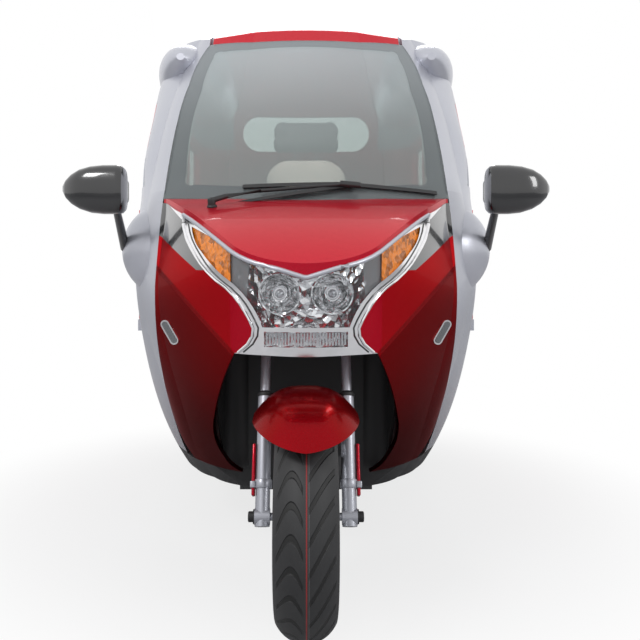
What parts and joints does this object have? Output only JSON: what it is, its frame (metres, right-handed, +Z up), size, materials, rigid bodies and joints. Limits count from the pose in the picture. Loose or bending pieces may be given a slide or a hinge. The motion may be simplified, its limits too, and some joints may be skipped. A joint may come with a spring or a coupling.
{
  "type": "three wheeled car",
  "caption": "Enclosed cabin car with one steered front wheel in a fork, a driven rear axle, hinged side doors and seats in line.",
  "frame": {"origin": "on the ground under the middle of the car's bounding box", "axes": "+Z up, -Y towards the front wheel, +X to the car's left"},
  "size_m": [1.26, 2.2899, 1.6064],
  "materials": {
    "red_paint": "metallic gloss",
    "silver_paint": "metallic satin gloss",
    "black_paint": "satin",
    "black_plastic": "matt",
    "gloss_black": "gloss",
    "chrome": "polished",
    "clear_lens": "clear",
    "amber_lens": "clear",
    "red_lens": "clear",
    "reflector": "faceted",
    "tinted_glass": "green tint",
    "rubber_seal": "satin",
    "seat_cloth": "woven",
    "mirror": "polished",
    "tyre": "matt",
    "wheel_alloy": "cast",
    "steel": "brushed"
  },
  "bodies": {
    "body": {"chassis_frame": "black_paint", "floor_pan": "black_plastic", "wheel_arch_liner": "black_plastic", "front_fairings": "red_paint", "hood": "red_paint", "lamp_bezel": "chrome", "headlamp_lens": "clear_lens", "turn_lenses": "amber_lens", "lamp_reflector": "reflector", "lamp_trims": "gloss_black", "front_quarters": "silver_paint", "a_pillars": "silver_paint", "windshield": "tinted_glass", "windshield_frame": "rubber_seal", "wiper": "black_plastic", "roof_panel": "red_paint", "roof_rails": "silver_paint", "rear_quarters": "red_paint", "tail_panel": "red_paint", "fixed_glass": "tinted_glass", "tail_lamps": "red_lens", "rear_bumper": "black_plastic", "plate_holder": "black_plastic", "seat_base": "black_plastic", "driver_cushion": "seat_cloth", "driver_back": "seat_cloth", "rear_bench": "seat_cloth", "dashboard": "black_plastic", "rear_tub": "black_plastic", "rear_axle": "black_paint", "leaf_springs": "black_paint", "mirror_housings": "gloss_black", "mirror_glass": "mirror"},
    "steering": {"fork": "silver_paint", "brake_caliper": "black_paint", "front_mudguard": "red_paint"},
    "handlebar": {"handlebar": "black_paint"},
    "front_wheel": {"front_tyre": "tyre", "front_rim": "wheel_alloy", "front_brake_disc": "steel"},
    "rear_wheel_left": {"rear_tyre_left": "tyre", "rear_rim_left": "wheel_alloy"},
    "rear_wheel_right": {"rear_tyre_right": "tyre", "rear_rim_right": "wheel_alloy"},
    "door_left": {"door_left": "red_paint", "door_glass_left": "tinted_glass"},
    "door_right": {"door_right": "red_paint", "door_glass_right": "tinted_glass"}
  },
  "joints": [
    {"name": "steering_turn", "type": "hinge", "parent": "body", "child": "steering", "pos_m": [0, -0.88163, 0.236], "axis": [0, 0.4067, 0.9135], "range_deg": [-32, 32]},
    {"name": "handlebar_turn", "type": "hinge", "parent": "body", "child": "handlebar", "pos_m": [0, -0.439, 0.72], "axis": [0, 0.4067, 0.9135], "range_deg": [-32, 32]},
    {"name": "front_wheel_spin", "type": "hinge", "parent": "steering", "child": "front_wheel", "pos_m": [0, -0.909, 0.236], "axis": [1, 0, 0], "continuous": true},
    {"name": "rear_wheel_left_spin", "type": "hinge", "parent": "body", "child": "rear_wheel_left", "pos_m": [0.422, 0.651, 0.236], "axis": [1, 0, 0], "continuous": true},
    {"name": "rear_wheel_right_spin", "type": "hinge", "parent": "body", "child": "rear_wheel_right", "pos_m": [-0.422, 0.651, 0.236], "axis": [1, 0, 0], "continuous": true},
    {"name": "door_left_swing", "type": "hinge", "parent": "body", "child": "door_left", "pos_m": [0.506, -0.1865, 0.675], "axis": [0, 0, -1], "range_deg": [0, 68]},
    {"name": "door_right_swing", "type": "hinge", "parent": "body", "child": "door_right", "pos_m": [-0.506, -0.1865, 0.675], "axis": [0, 0, 1], "range_deg": [0, 68]}
  ],
  "couplings": [
    {"joint": "handlebar_turn", "follows": "steering_turn", "ratio": 1}
  ]
}
